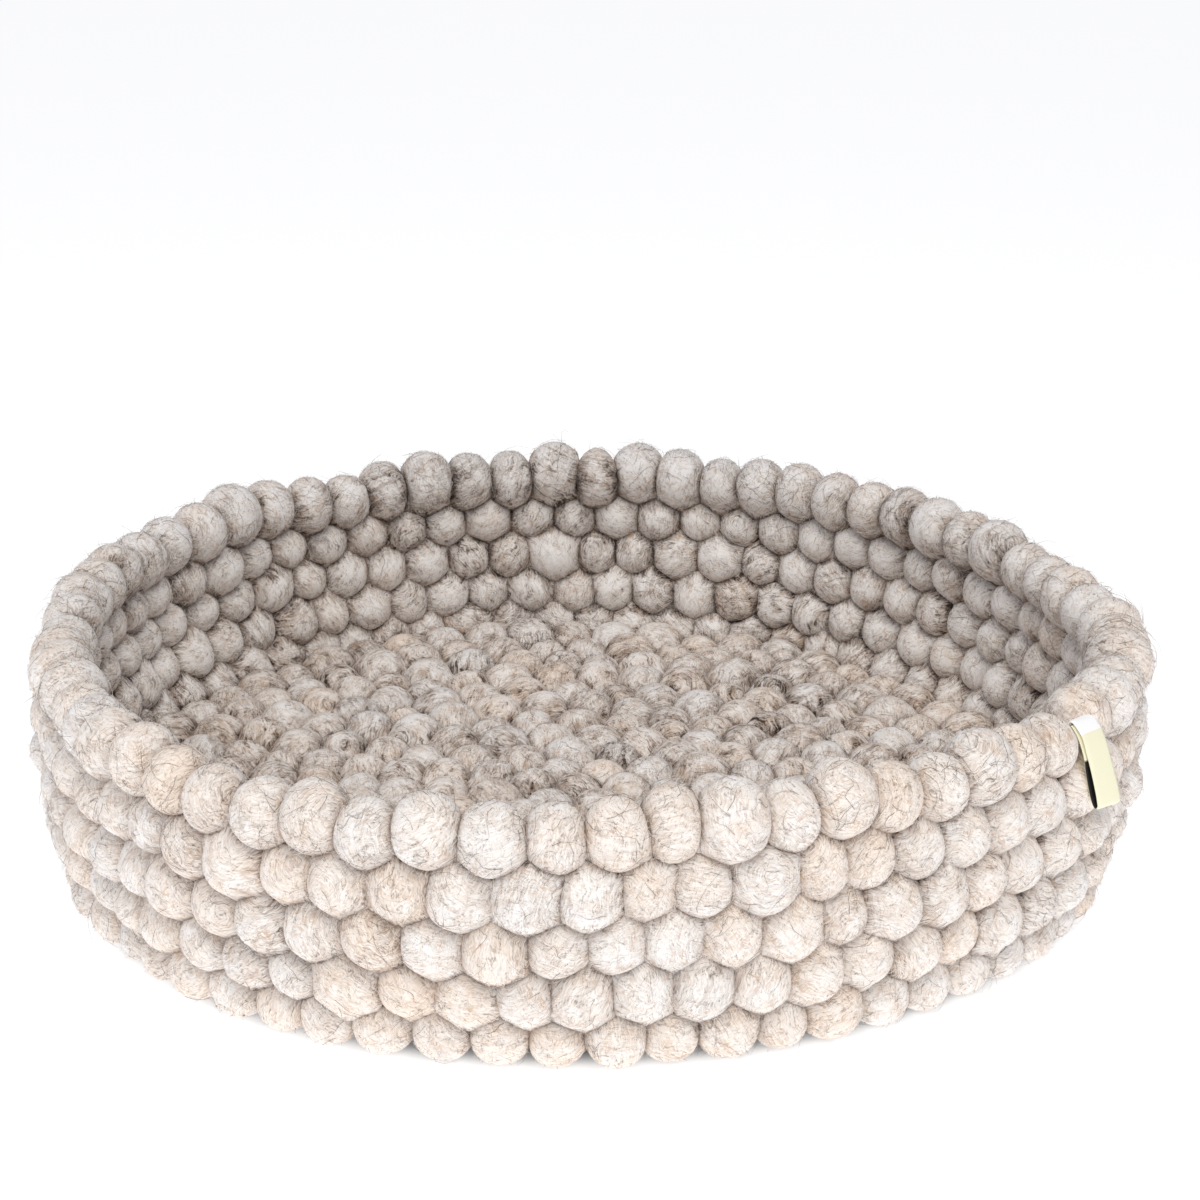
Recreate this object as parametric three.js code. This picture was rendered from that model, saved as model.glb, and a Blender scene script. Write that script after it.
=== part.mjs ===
// Round pet basket of felted wool balls: a flat floor mat of balls, four wall rows and a thicker rim row
// nested half a ball apart, and a small folded ribbon loop tucked in the rim.
// Millimetres, z up, the basket stands on z = 0 and its front is towards -y.
import * as THREE from "three";

const ballsPerRow = 64; // balls in every wall row
const ballPitch = 20.75; // ball to ball along the rim
const rimRadius = (ballsPerRow * ballPitch) / (2 * Math.PI); // to the centres of the rim balls
const footRadius = rimRadius * 0.9755; // to the centres of the lowest row
const wallBulge = 5.5; // how far the middle of the wall stands out past a straight slope
const shoulderAt = 0.33; // where a ball reaches its full girth, as a share of the pitch
const sideFlat = 0.58; // half width of a ball's top and bottom facets, as a share of its half depth
const frontTurn = -0.28; // how far the front rim ball stands from straight to the front, as a share of a ball
const frontAngle = -Math.PI / 2 + (frontTurn * 2 * Math.PI) / ballsPerRow;

// Wall rows from the floor up: centre height, then half depth, half height above and half height below
// at a ball's girth, and the same three at the neck where two balls touch.
const wallRows = [
  { name: "wall_row_1", z: 10.4, girth: [10.8, 10.1, 10.4], neck: [6.6, 6.3, 6.4] },
  { name: "wall_row_2", z: 29.24, girth: [10.8, 10.1, 10.1], neck: [6.6, 6.3, 6.3] },
  { name: "wall_row_3", z: 48.08, girth: [10.8, 10.1, 10.1], neck: [6.6, 6.3, 6.3] },
  { name: "wall_row_4", z: 66.92, girth: [10.8, 10.1, 10.1], neck: [6.6, 6.3, 6.3] },
  { name: "rim_row", z: 88.74, girth: [13.2, 13.4, 13.2], neck: [8.2, 8.8, 8.4] },
];
const rimZ = wallRows[4].z;
const footZ = wallRows[0].z;

// Hand-made unevenness of the outline: waves round the ring, then cosine and sine shares of the radius
// at the rim and at the foot.
const outlineWaves = [
  { waves: 2, rim: [0.0056, -0.0041], foot: [0.0063, -0.0076] },
  { waves: 3, rim: [0.0148, -0.0056], foot: [0.0078, -0.0038] },
  { waves: 4, rim: [0.0017, -0.0169], foot: [-0.0013, -0.0038] },
];
const rimLift = 2.3; // the rim stands this much higher at the right and lower at the left

// Floor mat: rings of balls round one in the middle, flat below.
const floorRings = 10;
const floorRingPitch = 18.75;
const floorTop = 21; // top of the floor balls
const floorDip = 15.2; // between two balls of a ring
const floorGroove = 14.4; // between two rings
const floorEdge = 194.95; // just inside the girths of the lowest wall row
const floorScallop = 4; // how far the edge reaches between them
const floorFlat = 3.6; // half depth of a floor ball's flat top

// Ribbon loop: both ends are pinched into the crevice between two rim balls and it hangs down outside.
// Along the ribbon: distance out from the rim circle, height, half width.
const ribbonThickness = 1;
const ribbonAngle = frontAngle + (10.5 * 2 * Math.PI) / ballsPerRow;
const ribbonTurn = 0.3; // the hanging part is turned a little to the front
const ribbonPath = [
  [1.0, 101.2, 1.5],
  [4.5, 101.4, 1.9],
  [8.0, 100.5, 4.0],
  [11.0, 98.3, 5.0],
  [14.0, 94.5, 5.6],
  [16.3, 89.0, 6.0],
  [17.8, 82.0, 6.0],
  [18.8, 75.0, 6.0],
  [19.4, 69.5, 6.0],
  [19.3, 66.6, 6.0],
  [18.4, 65.0, 6.0],
  [17.3, 65.6, 6.0],
  [16.8, 68.0, 6.0],
  [16.6, 75.0, 6.0],
  [16.1, 82.0, 6.0],
  [15.2, 89.0, 6.0],
  [12.7, 94.4, 5.2],
  [9.6, 97.8, 3.4],
  [6.0, 99.9, 1.8],
  [1.0, 99.7, 1.5],
];

// The round basket turned into the uneven one: radius and height change smoothly with the angle.
function uneven(radius, angle, z) {
  const share = Math.min(Math.max((z - footZ) / (rimZ - footZ), 0), 1.2);
  let stretch = 1;
  for (const { waves, rim, foot } of outlineWaves) {
    stretch += (foot[0] + (rim[0] - foot[0]) * share) * Math.cos(waves * angle);
    stretch += (foot[1] + (rim[1] - foot[1]) * share) * Math.sin(waves * angle);
  }
  const out = radius * stretch;
  const lift = rimLift * Math.cos(angle) * (z / rimZ);
  return [out * Math.cos(angle), out * Math.sin(angle), z + lift];
}

function meshFrom(points, triangles, name, colour) {
  const geometry = new THREE.BufferGeometry();
  geometry.setAttribute("position", new THREE.Float32BufferAttribute(points.flat(), 3));
  geometry.setIndex(triangles.flat());
  geometry.computeVertexNormals();
  const material = new THREE.MeshStandardMaterial({ color: colour, roughness: 0.95, metalness: 0 });
  const mesh = new THREE.Mesh(geometry, material);
  mesh.name = name;
  return mesh;
}

// Two triangles for each cell of a grid of points that closes on itself in both directions.
function closedGrid(rows, columns) {
  const triangles = [];
  for (let i = 0; i < rows; i += 1) {
    const next = (i + 1) % rows;
    for (let j = 0; j < columns; j += 1) {
      const after = (j + 1) % columns;
      triangles.push([i * columns + j, next * columns + j, next * columns + after]);
      triangles.push([i * columns + j, next * columns + after, i * columns + after]);
    }
  }
  return triangles;
}

// One wall row: a six-sided section carried round the ring, wide at a ball's girth and narrow at each neck.
function ballRow(row, index) {
  const share = (row.z - footZ) / (rimZ - footZ);
  const radius = footRadius + (rimRadius - footRadius) * share + wallBulge * 4 * share * (1 - share);
  const step = (2 * Math.PI) / ballsPerRow;
  const phase = frontAngle + (index % 2 === 0 ? 0 : 0.5) * step - 0.5 * step;
  const stations = [
    { at: 0, size: row.neck },
    { at: shoulderAt, size: row.girth },
    { at: 1 - shoulderAt, size: row.girth },
  ];
  const points = [];
  for (let ball = 0; ball < ballsPerRow; ball += 1) {
    for (const { at, size } of stations) {
      const [depth, above, below] = size;
      const angle = phase + (ball + at) * step;
      const corners = [
        [depth, 0],
        [depth * sideFlat, -below],
        [-depth * sideFlat, -below],
        [-depth, 0],
        [-depth * sideFlat, above],
        [depth * sideFlat, above],
      ];
      for (const [out, up] of corners) {
        points.push(uneven(radius + out, angle, row.z + up));
      }
    }
  }
  const triangles = closedGrid(ballsPerRow * stations.length, 6).map(([a, b, c]) => [a, c, b]);
  return meshFrom(points, triangles, row.name, index === 4 ? "#d8cfc4" : "#cdc3b7");
}

// Angle of number k of a ring of points, going on past a full turn.
function angleAt(loop, k, angles) {
  return angles[loop[k % loop.length]] + 2 * Math.PI * Math.floor(k / loop.length);
}

// Triangles between two rings of points with different counts: at each step the shorter diagonal is taken.
function zip(outer, inner, angles) {
  const triangles = [];
  let i = 0;
  let j = 0;
  while (i < outer.length || j < inner.length) {
    const toOuter = Math.abs(angleAt(outer, i + 1, angles) - angleAt(inner, j, angles));
    const toInner = Math.abs(angleAt(inner, j + 1, angles) - angleAt(outer, i, angles));
    const a = outer[i % outer.length];
    const b = inner[j % inner.length];
    if (j >= inner.length || (i < outer.length && toOuter <= toInner)) {
      triangles.push([a, outer[(i + 1) % outer.length], b]);
      i += 1;
    } else {
      triangles.push([a, inner[(j + 1) % inner.length], b]);
      j += 1;
    }
  }
  return triangles;
}

// The floor mat: rings of points from the middle of the underside, out round the edge and in over the balls.
function floorMat() {
  const points = [];
  const angles = [];
  const ring = (radius, count, stations, start) => {
    const loop = [];
    const total = count * stations.length;
    for (let k = 0; k < total; k += 1) {
      const cell = Math.floor(k / stations.length);
      const [at, z, out] = stations[k % stations.length];
      const angle = ((start + cell + at) * 2 * Math.PI) / count;
      loop.push(points.length);
      angles.push(angle);
      points.push(uneven(radius + out, angle, z));
    }
    return loop;
  };
  const even = (z) => [[0, z, 0]];
  const crest = [[0, floorDip, 0], [shoulderAt, floorTop, 0], [1 - shoulderAt, floorTop, 0]];
  const scallop = [[0, footZ, floorScallop], [shoulderAt, footZ, 0], [1 - shoulderAt, footZ, 0]];
  const loops = [ring(100, 3, even(0), 0)];
  loops.push(ring(floorEdge - 2.5, ballsPerRow, even(0), frontTurn));
  loops.push(ring(floorEdge, ballsPerRow, scallop, frontTurn - 0.5));
  loops.push(ring(floorEdge - 0.5, ballsPerRow, even(floorGroove), frontTurn));
  for (let k = floorRings; k >= 1; k -= 1) {
    const radius = k * floorRingPitch;
    const count = Math.round((2 * Math.PI * radius) / ballPitch);
    loops.push(ring(radius + floorFlat, count, crest, 0));
    loops.push(ring(radius - floorFlat, count, crest, 0));
    loops.push(ring(radius - floorRingPitch / 2, Math.max(count - 3, 6), even(floorGroove), 0));
  }
  loops.push(ring(5.5, 6, even(floorTop), 0));
  const triangles = [];
  for (let k = 1; k < loops.length; k += 1) {
    triangles.push(...zip(loops[k - 1], loops[k], angles));
  }
  const first = loops[0];
  triangles.push([first[2], first[1], first[0]]);
  const last = loops[loops.length - 1];
  for (let k = 1; k < last.length - 1; k += 1) {
    triangles.push([last[0], last[k], last[k + 1]]);
  }
  return meshFrom(points, triangles, "floor_mat", "#b7aca0");
}

// The ribbon: a thin four-cornered section carried along its path, as wide as each row of the path says.
function ribbonLoop() {
  const side = new THREE.Vector3(-Math.sin(ribbonAngle), Math.cos(ribbonAngle), 0);
  const out = new THREE.Vector3(Math.cos(ribbonAngle), Math.sin(ribbonAngle), 0);
  const anchor = uneven(rimRadius, ribbonAngle, rimZ);
  const lift = anchor[2] - rimZ;
  const points = [];
  ribbonPath.forEach(([distance, height, half], k) => {
    const before = ribbonPath[Math.max(k - 1, 0)];
    const after = ribbonPath[Math.min(k + 1, ribbonPath.length - 1)];
    const run = new THREE.Vector2(after[0] - before[0], after[1] - before[1]).normalize();
    const turn = ribbonTurn * THREE.MathUtils.smoothstep(half, 4, 6.5);
    for (const [across, through] of [[-1, 1], [1, 1], [1, -1], [-1, -1]]) {
      const reach = distance - (run.y * through * ribbonThickness) / 2 + across * half * Math.sin(turn);
      const up = height + lift + (run.x * through * ribbonThickness) / 2;
      const slide = across * half * Math.cos(turn);
      points.push([
        anchor[0] + out.x * reach + side.x * slide,
        anchor[1] + out.y * reach + side.y * slide,
        up,
      ]);
    }
  });
  const triangles = [];
  for (let k = 0; k < ribbonPath.length - 1; k += 1) {
    for (let corner = 0; corner < 4; corner += 1) {
      const a = k * 4 + corner;
      const b = k * 4 + ((corner + 1) % 4);
      triangles.push([a, a + 4, b + 4], [a, b + 4, b]);
    }
  }
  const end = (ribbonPath.length - 1) * 4;
  triangles.push([0, 1, 2], [0, 2, 3], [end, end + 2, end + 1], [end, end + 3, end + 2]);
  return meshFrom(points, triangles, "label", "#ece2c2");
}

const basket = new THREE.Group();
basket.name = "felt_ball_basket";
basket.add(floorMat());
wallRows.forEach((row, index) => basket.add(ballRow(row, index)));
basket.add(ribbonLoop());

// The origin goes under the middle of the whole outline.
const bounds = new THREE.Box3().setFromObject(basket);
const middle = bounds.getCenter(new THREE.Vector3());
for (const mesh of basket.children) {
  mesh.geometry.translate(-middle.x, -middle.y, -bounds.min.z);
}

export default basket;
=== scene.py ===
import math

import bpy
import numpy as np
from mathutils import Matrix, Vector


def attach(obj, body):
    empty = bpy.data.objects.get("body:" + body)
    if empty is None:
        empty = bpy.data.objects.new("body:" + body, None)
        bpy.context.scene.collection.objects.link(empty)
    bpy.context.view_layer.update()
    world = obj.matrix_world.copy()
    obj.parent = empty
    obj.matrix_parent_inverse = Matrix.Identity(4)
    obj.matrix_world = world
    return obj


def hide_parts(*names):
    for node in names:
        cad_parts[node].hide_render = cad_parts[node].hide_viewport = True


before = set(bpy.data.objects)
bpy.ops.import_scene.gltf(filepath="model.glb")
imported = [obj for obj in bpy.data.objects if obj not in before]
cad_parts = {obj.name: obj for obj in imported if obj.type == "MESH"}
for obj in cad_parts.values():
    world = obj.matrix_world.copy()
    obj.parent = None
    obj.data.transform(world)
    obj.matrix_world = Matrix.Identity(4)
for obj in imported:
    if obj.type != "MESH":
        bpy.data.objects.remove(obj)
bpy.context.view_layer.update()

mm = 0.001
fullTurn = 2 * math.pi
attributeNode, mathNode, vectorNode = "ShaderNodeAttribute", "ShaderNodeMath", "ShaderNodeVectorMath"
noiseNode, rampNode, mixNode = "ShaderNodeTexNoise", "ShaderNodeValToRGB", "ShaderNodeMix"
skinNode, outputNode = "ShaderNodeBsdfPrincipled", "ShaderNodeOutputMaterial"


def linear(hexColour):
    # sRGB hex to linear: below 0.04045 divide by 12.92, above it the 2.4 power curve
    parts = [int(hexColour[i : i + 2], 16) / 255 for i in (1, 3, 5)]
    return [v / 12.92 if v <= 0.04045 else ((v + 0.055) / 1.055) ** 2.4 for v in parts] + [1.0]


def put(tree, kind, inputs=None, out=0, stops=None, **settings):
    # adds one node with its settings, fills or links its inputs, and gives the output asked for, or the
    # node itself; stops are a colour ramp's places with a grey or a hex colour
    node = tree.nodes.new(kind)
    for name, value in settings.items():
        setattr(node, name, value)
    for key, value in (inputs or {}).items():
        if isinstance(value, bpy.types.NodeSocket):
            tree.links.new(value, node.inputs[key])
        else:
            node.inputs[key].default_value = value
    if stops:
        bar = node.color_ramp
        while len(bar.elements) < len(stops):
            bar.elements.new(0.5)
        for spot, (place, colour) in zip(bar.elements, stops):
            spot.position = place
            spot.color = linear(colour) if isinstance(colour, str) else [colour, colour, colour, 1]
    return node if out is None else node.outputs[out]


def newMaterial(name):
    # an empty material and its node tree
    made = bpy.data.materials.new(name)
    made.use_nodes = True
    made.node_tree.nodes.clear()
    return made, made.node_tree


# Wet-felted wool, rolled into balls by hand: undyed fleece, so white, cream, grey and brown fibres lie
# together in whorls. It is fully matt, darker in tufts, and lines of fibre show; painted shade darkens
# the crevices where the balls press together and each ball towards its edges, and painted light makes
# the outside paler and evener.
wool = {
    "tones": [  # from the darkest fibres to the palest
        (0.0, "#3A312C"),
        (0.2, "#766C65"),
        (0.42, "#B7AFA8"),
        (0.64, "#E3DFDA"),
        (0.82, "#F5F4F0"),
        (1.0, "#FFFFFD"),
    ],
    "tan": "#BE9B7A",
    "cool": "#FBF8F7",
    "warm": "#FFF2E7",
    "ballShade": (0.72, 0.36, 0.24),  # in the wall, on the floor, and how much the balls differ
    "ballWarmth": (0.82, 1.28, 0.24),
    "tuftPower": 3,  # higher leaves fewer balls with many tufts
    "ballMm": 11.5,  # radius over which the whorls are wound
    "strandMm": 1.0,  # width of a strand of fibres
    "fibreMm": 0.4,  # width of one drawn fibre, coarser than the real 0.03 mm so that it shows
    "broadMm": 1.8,
    "tuftMm": 2.0,  # width of the dark tufts
    "cloudMm": 7.0,  # size of the paler and darker patches
    "tanMm": 6.0,
    "curlMm": 5.0,  # spacing of the curls
    "runs": {"strands": 11, "fine": 22, "over": 22, "stray": 18, "broad": 6, "tuft": 4},  # length over width
    "whorlCurl": 3.8,  # how far the curls bend the fibres, in millimetres
    "crossCurl": 4.2,
    "noiseRough": 0.55,
    "lines": {  # a fibre shows where its noise lies between these values, fading in and out
        "dark": (0.53, 0.565, 0.585, 0.62),
        "over": (0.40, 0.435, 0.455, 0.49),
        "pale": (0.51, 0.54, 0.56, 0.60),
        "stray": (0.39, 0.425, 0.445, 0.48),
        "tan": (0.52, 0.56, 0.60, 0.64),
    },
    "darkWhere": [(0.38, 0.1), (0.62, 1.0)],
    "tanWhere": [(0.45, 0.04), (0.68, 0.62)],
    "tuftWhere": [(0.46, 0), (0.72, 1)],
    "tuftFibres": [(0.36, 1.0), (0.50, 0.5), (0.62, 0.2)],
    "tuftByBall": 0.22,
    "tuftByStrands": -0.35,
    "level": -0.20,
    "byShade": 0.30,
    "toneShares": {
        "strands": 0.32,
        "cloud": 0.90,
        "broad": 0.60,
        "tuft": -0.52,
        # the last two are painted shade: darker in the crevices where the balls press together, and broadly
        # towards each ball's edges
        "pressed": -0.48,
        "edgeShade": -0.28,
    },
    "lineShares": {"dark": -0.24, "over": -0.18, "stray": -0.20, "pale": 0.17},
    "litOutsideTone": 0.82,  # painted light: the outside of the wall is paler and evener, as where light falls brightly; its tones draw in to this one
    "litOutsideShare": 0.60,
    # painted light: the lit outside is tinted warmer, the inside cooler
    "tintByLitOutside": 0.46,
    "tintByCloud": -1.8,
    "relief": 0.5 * mm,
}


def woolMaterial():
    # tone = level + shade + strands, clouds and bands - tufts - painted shade in the crevices and towards
    # the balls' edges, drawn in to one pale tone on the outside as painted light, then lines of single
    # fibres; a ramp turns the tone to colour, and a warm or cool tint, warmer on the painted lit outside,
    # and tan fibres come last
    made, tree = newMaterial("wet_felted_wool")
    whorl, cross, start = (
        put(tree, attributeNode, out="Vector", attribute_name=name) for name in ("whorl", "cross", "start")
    )
    # the last three carry painted light: shade in the crevices and towards the balls' edges, light on the
    # outside
    shade, warmth, tufted, pressed, edgeShade, litOutside = (
        put(tree, attributeNode, out="Fac", attribute_name=name)
        for name in ("shade", "warmth", "tufted", "pressed", "edgeShade", "litOutside")
    )

    def around(place):
        # fibre coordinates on a ball: two run across the whorl, and the third is the arc from its middle
        x, y, z = put(tree, "ShaderNodeSeparateXYZ", {0: place}, out=None).outputs
        flat = put(tree, vectorNode, {0: place, 1: (1, 1, 0)}, operation="MULTIPLY")
        flat = put(tree, vectorNode, {0: flat}, out="Value", operation="LENGTH")
        angle = put(tree, mathNode, {0: flat, 1: z}, operation="ARCTAN2")
        arc = put(tree, mathNode, {0: angle, 1: wool["ballMm"]}, operation="MULTIPLY")
        joined = put(tree, "ShaderNodeCombineXYZ", {0: x, 1: y, 2: arc})
        return put(tree, vectorNode, {0: joined, 1: start}, operation="ADD")

    def fibres(place, width, run, detail, turned=False):
        # noise that is narrow across the fibres and this many times as long along them
        long = 1 / (width * run)
        scale = (0.5 / width, long, long) if turned else (long, long, 0.5 / width)
        drawn = put(tree, vectorNode, {0: place, 1: scale}, operation="MULTIPLY")
        look = {"Vector": drawn, "Scale": 1.0, "Detail": detail, "Roughness": wool["noiseRough"]}
        return put(tree, noiseNode, look, out="Fac")

    # one soft noise bends both directions of fibre, each by its own number of millimetres
    whorlPath, crossPath = around(whorl), around(cross)
    look = {"Vector": whorlPath, "Scale": 1 / wool["curlMm"], "Detail": 1.5, "Roughness": wool["noiseRough"]}
    soft = put(tree, noiseNode, look, out="Color")
    bend = put(tree, vectorNode, {0: soft, 1: (0.5, 0.5, 0.5)}, operation="SUBTRACT")
    whorlBent, crossBent = (
        put(tree, vectorNode, {0: bend, 1: (reach, reach, reach), 2: path}, operation="MULTIPLY_ADD")
        for path, reach in ((whorlPath, wool["whorlCurl"]), (crossPath, wool["crossCurl"]))
    )
    runs = wool["runs"]
    strands = fibres(whorlBent, wool["strandMm"], runs["strands"], 3)
    fine = fibres(whorlBent, wool["fibreMm"], runs["fine"], 2)
    over = fibres(crossBent, wool["fibreMm"] * 1.1, runs["over"], 2)
    stray = fibres(crossBent, wool["fibreMm"] * 1.2, runs["stray"], 2, turned=True)
    broad = fibres(crossBent, wool["broadMm"], runs["broad"], 2)
    look = {"Vector": crossBent, "Scale": 1 / wool["cloudMm"], "Detail": 3, "Roughness": wool["noiseRough"]}
    cloud = put(tree, noiseNode, look, out="Fac")

    # thin lines where a fine noise crosses a value, as single fibres lie on the fleece
    noises = {"dark": fine, "over": over, "pale": over, "stray": stray, "tan": stray}
    lines = {
        name: put(tree, rampNode, {"Fac": noises[name]}, stops=list(zip(spots, (0, 1, 1, 0))))
        for name, spots in wool["lines"].items()
    }
    where = put(tree, rampNode, {"Fac": broad}, stops=wool["darkWhere"])
    lines["dark"] = put(tree, mathNode, {0: lines["dark"], 1: where}, operation="MULTIPLY")

    # dark tufts: blotches of brown fibre, on some balls more than on others
    blot = fibres(crossBent, wool["tuftMm"], runs["tuft"], 3)
    for value, share in [(tufted, wool["tuftByBall"]), (strands, wool["tuftByStrands"])]:
        blot = put(tree, mathNode, {0: value, 1: share, 2: blot}, operation="MULTIPLY_ADD")
    tuft = put(tree, rampNode, {"Fac": blot}, stops=wool["tuftWhere"])
    matted = put(tree, rampNode, {"Fac": over}, stops=wool["tuftFibres"])
    tuft = put(tree, mathNode, {0: tuft, 1: matted}, operation="MULTIPLY")

    parts = {
        "strands": strands,
        "cloud": cloud,
        "broad": broad,
        "tuft": tuft,
        "pressed": pressed,
        "edgeShade": edgeShade,
    }
    shadeInputs = {0: shade, 1: wool["byShade"], 2: wool["level"]}
    tone = put(tree, mathNode, shadeInputs, operation="MULTIPLY_ADD")
    for name, share in wool["toneShares"].items():
        tone = put(tree, mathNode, {0: parts[name], 1: share, 2: tone}, operation="MULTIPLY_ADD")
    # painted light: on the outside the tones draw in to one pale, even tone, as where light falls brightly
    drawnIn = put(tree, mathNode, {0: wool["litOutsideTone"], 1: tone}, operation="SUBTRACT")
    drawnIn = put(tree, mathNode, {0: drawnIn, 1: litOutside}, operation="MULTIPLY")
    tone = put(tree, mathNode, {0: drawnIn, 1: wool["litOutsideShare"], 2: tone}, operation="MULTIPLY_ADD")
    for name, share in wool["lineShares"].items():
        tone = put(tree, mathNode, {0: lines[name], 1: share, 2: tone}, operation="MULTIPLY_ADD")
    body = put(tree, rampNode, {"Fac": tone}, stops=wool["tones"])

    # the tint is warmer on the lit outside, which is painted light, and varies with the clouds
    warm = warmth
    for value, share in [(litOutside, wool["tintByLitOutside"]), (cloud, wool["tintByCloud"])]:
        warm = put(tree, mathNode, {0: value, 1: share, 2: warm}, operation="MULTIPLY_ADD")
    tints = {"Factor": warm, 6: linear(wool["cool"]), 7: linear(wool["warm"])}
    tint = put(tree, mixNode, tints, out=2, data_type="RGBA")
    both = {"Factor": 1.0, 6: body, 7: tint}
    body = put(tree, mixNode, both, out=2, data_type="RGBA", blend_type="MULTIPLY")
    look = {"Vector": whorlBent, "Scale": 1 / wool["tanMm"], "Detail": 2, "Roughness": wool["noiseRough"]}
    where = put(tree, rampNode, {"Fac": put(tree, noiseNode, look, out="Fac")}, stops=wool["tanWhere"])
    tan = put(tree, mathNode, {0: lines["tan"], 1: where}, operation="MULTIPLY")
    body = put(tree, mixNode, {"Factor": tan, 6: body, 7: linear(wool["tan"])}, out=2, data_type="RGBA")

    height = strands
    for value in (fine, over):
        height = put(tree, mathNode, {0: value, 1: 0.5, 2: height}, operation="MULTIPLY_ADD")
    raised = put(tree, "ShaderNodeBump", {"Height": height, "Distance": wool["relief"], "Strength": 0.6})
    finish = {
        "Base Color": body,
        "Roughness": 0.95,
        "Specular IOR Level": 0.1,
        "Sheen Weight": 0.06,
        "Sheen Roughness": 0.6,
        "Normal": raised,
    }
    put(tree, outputNode, {"Surface": put(tree, skinNode, finish)}, out=None)
    return made


# The rows of balls, in millimetres: height of the centres, and a ball's own half sizes before it is
# pressed, outwards from the wall, along the row and upwards.
basket = {
    "ballsPerRow": 64,
    "pitch": 20.75,
    "footShare": 0.9755,
    "bulge": 5.5,
    "rimLift": 2.3,
    "waves": [  # number of waves round the basket, and their cosine and sine shares at the rim and the foot
        (2, (0.0056, -0.0041), (0.0063, -0.0076)),
        (3, (0.0148, -0.0056), (0.0078, -0.0038)),
        (4, (0.0017, -0.0169), (-0.0013, -0.0038)),
    ],
    "turn": -0.28,  # how far the front rim ball stands from straight to the front, as a share of a ball
    "shift": (-3.0795, -0.768, 0.0),  # middle of the round layout, from the middle of the outline
    "rows": {
        "wall_row_1": (10.4, (11.2, 11.6, 11.6)),
        "wall_row_2": (29.24, (11.0, 11.25, 11.25)),
        "wall_row_3": (48.08, (11.0, 11.25, 11.25)),
        "wall_row_4": (66.92, (11.0, 11.25, 11.25)),
        "rim_row": (88.74, (13.2, 12.7, 13.6)),
    },
    "floorRings": 10,
    "floorRingPitch": 18.75,
    "floorRingTurn": 0.37,  # each ring starts this share of a ball further on
    "floorHeight": 10.4,
    "floorBall": (11.6, 11.8, 10.6),
    "sizeSpread": 0.06,  # how much the balls differ in size
    "alongSpread": 0.8,
    "leastRadius": 18.0,  # the middle ball turns as if it lay this far out
    "depthSpread": 0.9,
    "heightSpread": 0.7,
    "lowSpread": 0.25,  # share of that in the balls that stand on the ground
    "footSink": 0.93,  # the lowest row is pressed on the ground to this share of its half height
    "settling": 40,  # rounds in which the balls push each other to fitting distances
    "settleWith": 6,
    "settleClose": 1.25,  # balls within this share of the mean distance even out
    "settlePush": 0.5,
    "settleHome": 0.06,
    "besideRibbon": {  # size, and move out, along and up, of the two balls that hold the ribbon
        10: (0.95, (-1.0, -0.4, -1.0)),
        11: (0.95, (-2.5, 1.5, -0.5)),
    },
    "neighbours": 14,
    "pressing": 13.0,  # higher presses the balls flatter against each other
    "gap": -0.6,
    "leastFace": 0.55,  # a pressed face lies at least this share of the radius from the middle
    "cupping": 0.7,
    "mostCupped": 0.5,
    "harderUp": 0.3,
    "sewnWide": 0.22,  # half width of the sewn middle, as a share of the ball
    "sewnFade": 1.6,  # how fast the sewing ends towards a free side
    "sewnUnder": 0.3,  # and how far under the lowest row it goes towards the floor
    "waist": 0.6,  # there a ball swells this much, because it is sewn tight
    "overlap": 0.16,  # and is pushed this share into its neighbours, so that no light passes
    "lumps": 0.0352,
    "lumpWaves": 5,
    "lumpTurns": 2.1,
    "wallGrid": (26, 15),  # faces round a ball and from pole to pole
    "floorGrid": (20, 12),
    "litOutsideUp": 0.45,  # on the rim the outside's painted light reaches up by this share
    "litOutsideFade": 0.6,
    "floorCreviceShade": 0.6,  # the painted shade in the floor's crevices and towards its balls' edges is lighter
    "floorEdge": 0.7,
    # a low power of the contact spreads the painted edge shade further from the crevices
    "edgeShadePower": 0.12,
    "seed": 41,
}
chance = np.random.default_rng(basket["seed"])
rimRadius = basket["ballsPerRow"] * basket["pitch"] / fullTurn
rowNames = list(basket["rows"])
footHeight = basket["rows"]["wall_row_1"][0]
rimHeight, rimHalf = basket["rows"]["rim_row"]


def unevenRing(radius, angle, height):
    # a circle whose radius swells and shrinks with 2, 3 and 4 waves round it, going over from the foot's to
    # the rim's with the height, and which rises a little to the right
    share = np.clip((height - footHeight) / (rimHeight - footHeight), 0, 1.2)
    swell = np.ones_like(angle)
    for count, rim, foot in basket["waves"]:
        swell = swell + (foot[0] + (rim[0] - foot[0]) * share) * np.cos(count * angle)
        swell = swell + (foot[1] + (rim[1] - foot[1]) * share) * np.sin(count * angle)
    out = radius * swell
    lift = basket["rimLift"] * np.cos(angle) * height / rimHeight
    place = np.stack([out * np.cos(angle), out * np.sin(angle), height + lift], -1)
    return place + np.array(basket["shift"])


def rowRadius(height):
    # straight slope from foot to rim, plus a parabola that is fullest half way up
    share = (height - footHeight) / (rimHeight - footHeight)
    foot = rimRadius * basket["footShare"]
    return foot + (rimRadius - foot) * share + basket["bulge"] * 4 * share * (1 - share)


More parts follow.
